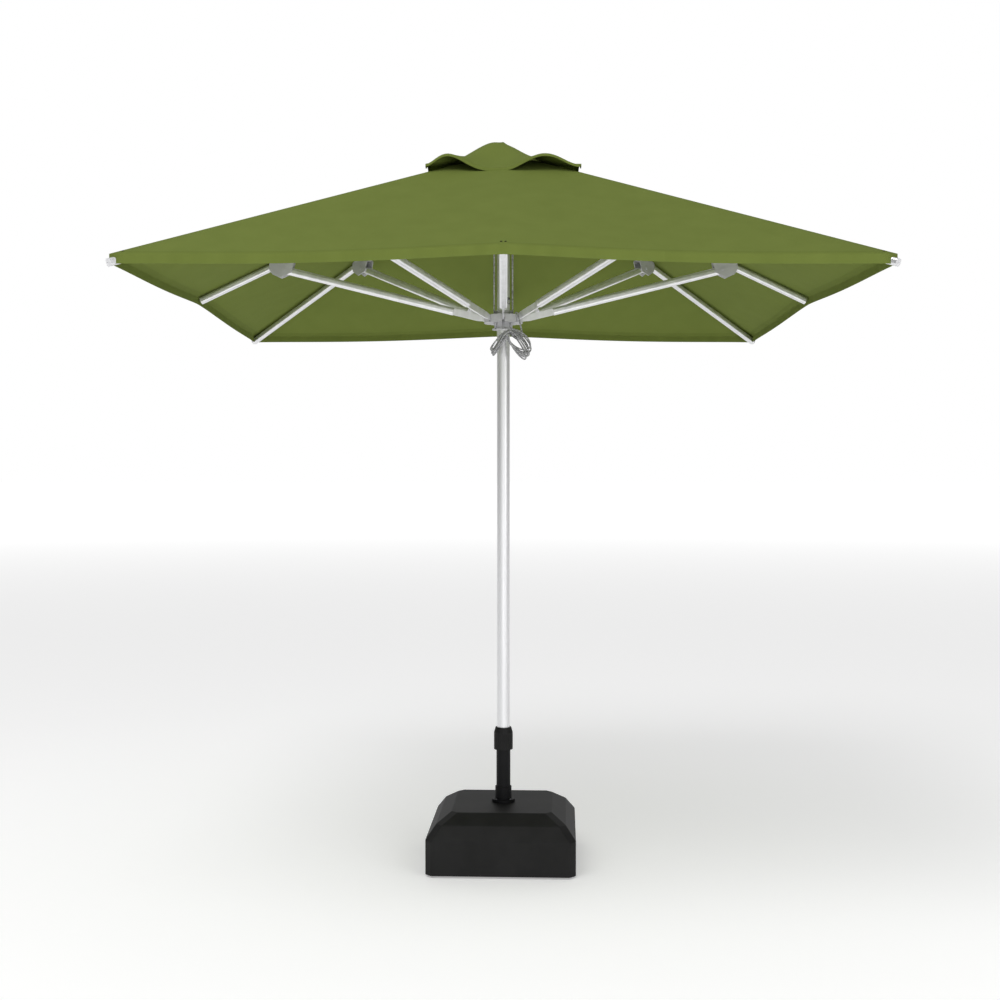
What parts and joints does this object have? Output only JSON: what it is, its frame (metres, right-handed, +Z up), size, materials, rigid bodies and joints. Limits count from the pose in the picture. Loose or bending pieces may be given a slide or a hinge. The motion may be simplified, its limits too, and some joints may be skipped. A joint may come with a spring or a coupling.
{
  "type": "patio umbrella with base",
  "caption": "Square patio umbrella with a folding rib frame, vented canopy, rope hoist and a square ballasted base.",
  "frame": {"origin": "on the pole's axis at floor level", "axes": "+Z up along the pole, -Y towards the front edge of the canopy"},
  "size_m": [2.4258, 2.4258, 2.8217],
  "materials": {
    "canopy_fabric": "woven solution-dyed cloth",
    "rope": "braided cord",
    "hub_plastic": "moulded",
    "black_plastic": "moulded, fine grain",
    "black_metal": "powder coated",
    "rubber_foot": "moulded",
    "ballast": "cast, hidden",
    "bush_plastic": "moulded",
    "steel": "zinc plated",
    "bracket_alloy": "cast",
    "pole_aluminium": "satin anodised"
  },
  "bodies": {
    "base": {"base_shell": "black_plastic", "ballast_slab": "ballast", "base_feet": "rubber_foot", "stem_tube": "black_metal", "stem_flange": "black_metal", "flange_bolts": "steel", "collet": "black_plastic"},
    "clamp_nut": {"clamp_nut": "black_plastic"},
    "pole": {"pole_tube": "pole_aluminium", "pole_foot_plug": "hub_plastic", "pole_top_cap": "hub_plastic", "crown_hub": "hub_plastic", "crown_pins": "steel", "finial_stud": "steel", "finial_nut": "steel", "sheave_axle": "steel", "hoist_rope_left": "rope", "hoist_rope_right": "rope"},
    "runner": {"runner_hub": "hub_plastic", "runner_bush": "bush_plastic", "rope_hank": "rope"},
    "lock_pin": {"lock_pin": "steel"},
    "sheave_left": {"sheave_left": "hub_plastic"},
    "sheave_right": {"sheave_right": "hub_plastic"},
    "rib_arm_1": {"rib_1": "pole_aluminium", "strut_bracket_1": "bracket_alloy", "canopy_gore_1": "canopy_fabric"},
    "strut_arm_1": {"strut_1": "pole_aluminium"},
    "rib_arm_2": {"rib_2": "pole_aluminium", "strut_bracket_2": "bracket_alloy", "canopy_gore_2": "canopy_fabric"},
    "strut_arm_2": {"strut_2": "pole_aluminium"},
    "rib_arm_3": {"rib_3": "pole_aluminium", "strut_bracket_3": "bracket_alloy", "canopy_gore_3": "canopy_fabric"},
    "strut_arm_3": {"strut_3": "pole_aluminium"},
    "rib_arm_4": {"rib_4": "pole_aluminium", "strut_bracket_4": "bracket_alloy", "canopy_gore_4": "canopy_fabric"},
    "strut_arm_4": {"strut_4": "pole_aluminium"},
    "rib_arm_5": {"rib_5": "pole_aluminium", "strut_bracket_5": "bracket_alloy", "canopy_gore_5": "canopy_fabric"},
    "strut_arm_5": {"strut_5": "pole_aluminium"},
    "rib_arm_6": {"rib_6": "pole_aluminium", "strut_bracket_6": "bracket_alloy", "canopy_gore_6": "canopy_fabric"},
    "strut_arm_6": {"strut_6": "pole_aluminium"},
    "rib_arm_7": {"rib_7": "pole_aluminium", "strut_bracket_7": "bracket_alloy", "canopy_gore_7": "canopy_fabric"},
    "strut_arm_7": {"strut_7": "pole_aluminium"},
    "rib_arm_8": {"rib_8": "pole_aluminium", "strut_bracket_8": "bracket_alloy", "canopy_gore_8": "canopy_fabric"},
    "strut_arm_8": {"strut_8": "pole_aluminium"}
  },
  "joints": [
    {"name": "clamp_nut_turn", "type": "hinge", "parent": "base", "child": "clamp_nut", "pos_m": [0, 0, 0.47], "axis": [0, 0, 1], "range_deg": [0, 270]},
    {"name": "pole_turn", "type": "hinge", "parent": "base", "child": "pole", "pos_m": [0, 0, 0.47], "axis": [0, 0, 1], "continuous": true},
    {"name": "runner_slide", "type": "slide", "parent": "pole", "child": "runner", "axis": [0, 0, -1], "range_m": [0, 1.0897], "deforming": ["hoist_rope_left", "hoist_rope_right", "rope_hank"]},
    {"name": "lock_pin_pull", "type": "slide", "parent": "pole", "child": "lock_pin", "axis": [0.3827, -0.9239, 0], "range_m": [0, 0.07]},
    {"name": "sheave_left_spin", "type": "hinge", "parent": "pole", "child": "sheave_left", "pos_m": [-0.036, 0, 2.64], "axis": [1, 0, 0], "range_deg": [0, 4190]},
    {"name": "sheave_right_spin", "type": "hinge", "parent": "pole", "child": "sheave_right", "pos_m": [0.036, 0, 2.64], "axis": [1, 0, 0], "range_deg": [0, 4190]},
    {"name": "rib_1_fold", "type": "hinge", "parent": "pole", "child": "rib_arm_1", "pos_m": [0.062, 0, 2.727], "axis": [0, 1, 0], "range_deg": [0, 54.55], "deforming": ["canopy_gore_1"]},
    {"name": "strut_1_swing", "type": "hinge", "parent": "rib_arm_1", "child": "strut_arm_1", "pos_m": [0.862, 0, 2.31218], "axis": [0, 1, 0], "range_deg": [-122.33, 0]},
    {"name": "rib_2_fold", "type": "hinge", "parent": "pole", "child": "rib_arm_2", "pos_m": [0.04384, 0.04384, 2.727], "axis": [-0.7071, 0.7071, 0], "range_deg": [0, 60.65], "deforming": ["canopy_gore_2"]},
    {"name": "strut_2_swing", "type": "hinge", "parent": "rib_arm_2", "child": "strut_arm_2", "pos_m": [0.61377, 0.61377, 2.41136], "axis": [-0.7071, 0.7071, 0], "range_deg": [-122.79, 0]},
    {"name": "rib_3_fold", "type": "hinge", "parent": "pole", "child": "rib_arm_3", "pos_m": [0, 0.062, 2.727], "axis": [-1, 0, 0], "range_deg": [0, 54.55], "deforming": ["canopy_gore_3"]},
    {"name": "strut_3_swing", "type": "hinge", "parent": "rib_arm_3", "child": "strut_arm_3", "pos_m": [0, 0.862, 2.31218], "axis": [-1, 0, 0], "range_deg": [-122.33, 0]},
    {"name": "rib_4_fold", "type": "hinge", "parent": "pole", "child": "rib_arm_4", "pos_m": [-0.04384, 0.04384, 2.727], "axis": [-0.7071, -0.7071, 0], "range_deg": [0, 60.65], "deforming": ["canopy_gore_4"]},
    {"name": "strut_4_swing", "type": "hinge", "parent": "rib_arm_4", "child": "strut_arm_4", "pos_m": [-0.61377, 0.61377, 2.41136], "axis": [-0.7071, -0.7071, 0], "range_deg": [-122.79, 0]},
    {"name": "rib_5_fold", "type": "hinge", "parent": "pole", "child": "rib_arm_5", "pos_m": [-0.062, 0, 2.727], "axis": [0, -1, 0], "range_deg": [0, 54.55], "deforming": ["canopy_gore_5"]},
    {"name": "strut_5_swing", "type": "hinge", "parent": "rib_arm_5", "child": "strut_arm_5", "pos_m": [-0.862, 0, 2.31218], "axis": [0, -1, 0], "range_deg": [-122.33, 0]},
    {"name": "rib_6_fold", "type": "hinge", "parent": "pole", "child": "rib_arm_6", "pos_m": [-0.04384, -0.04384, 2.727], "axis": [0.7071, -0.7071, 0], "range_deg": [0, 60.65], "deforming": ["canopy_gore_6"]},
    {"name": "strut_6_swing", "type": "hinge", "parent": "rib_arm_6", "child": "strut_arm_6", "pos_m": [-0.61377, -0.61377, 2.41136], "axis": [0.7071, -0.7071, 0], "range_deg": [-122.79, 0]},
    {"name": "rib_7_fold", "type": "hinge", "parent": "pole", "child": "rib_arm_7", "pos_m": [0, -0.062, 2.727], "axis": [1, 0, 0], "range_deg": [0, 54.55], "deforming": ["canopy_gore_7"]},
    {"name": "strut_7_swing", "type": "hinge", "parent": "rib_arm_7", "child": "strut_arm_7", "pos_m": [0, -0.862, 2.31218], "axis": [1, 0, 0], "range_deg": [-122.33, 0]},
    {"name": "rib_8_fold", "type": "hinge", "parent": "pole", "child": "rib_arm_8", "pos_m": [0.04384, -0.04384, 2.727], "axis": [0.7071, 0.7071, 0], "range_deg": [0, 60.65], "deforming": ["canopy_gore_8"]},
    {"name": "strut_8_swing", "type": "hinge", "parent": "rib_arm_8", "child": "strut_arm_8", "pos_m": [0.61377, -0.61377, 2.41136], "axis": [0.7071, 0.7071, 0], "range_deg": [-122.79, 0]}
  ],
  "couplings": [
    {"joint": "sheave_left_spin", "follows": "runner_slide", "rad_per_m": 67.003},
    {"joint": "sheave_right_spin", "follows": "runner_slide", "rad_per_m": 67.003},
    {"joint": "rib_1_fold", "follows": "runner_slide", "rad_per_m": 0.87291},
    {"joint": "strut_1_swing", "follows": "runner_slide", "rad_per_m": -1.9585},
    {"joint": "rib_2_fold", "follows": "runner_slide", "rad_per_m": 0.97061},
    {"joint": "strut_2_swing", "follows": "runner_slide", "rad_per_m": -1.9659},
    {"joint": "rib_3_fold", "follows": "runner_slide", "rad_per_m": 0.87291},
    {"joint": "strut_3_swing", "follows": "runner_slide", "rad_per_m": -1.9585},
    {"joint": "rib_4_fold", "follows": "runner_slide", "rad_per_m": 0.97061},
    {"joint": "strut_4_swing", "follows": "runner_slide", "rad_per_m": -1.9659},
    {"joint": "rib_5_fold", "follows": "runner_slide", "rad_per_m": 0.87291},
    {"joint": "strut_5_swing", "follows": "runner_slide", "rad_per_m": -1.9585},
    {"joint": "rib_6_fold", "follows": "runner_slide", "rad_per_m": 0.97061},
    {"joint": "strut_6_swing", "follows": "runner_slide", "rad_per_m": -1.9659},
    {"joint": "rib_7_fold", "follows": "runner_slide", "rad_per_m": 0.87291},
    {"joint": "strut_7_swing", "follows": "runner_slide", "rad_per_m": -1.9585},
    {"joint": "rib_8_fold", "follows": "runner_slide", "rad_per_m": 0.97061},
    {"joint": "strut_8_swing", "follows": "runner_slide", "rad_per_m": -1.9659}
  ]
}
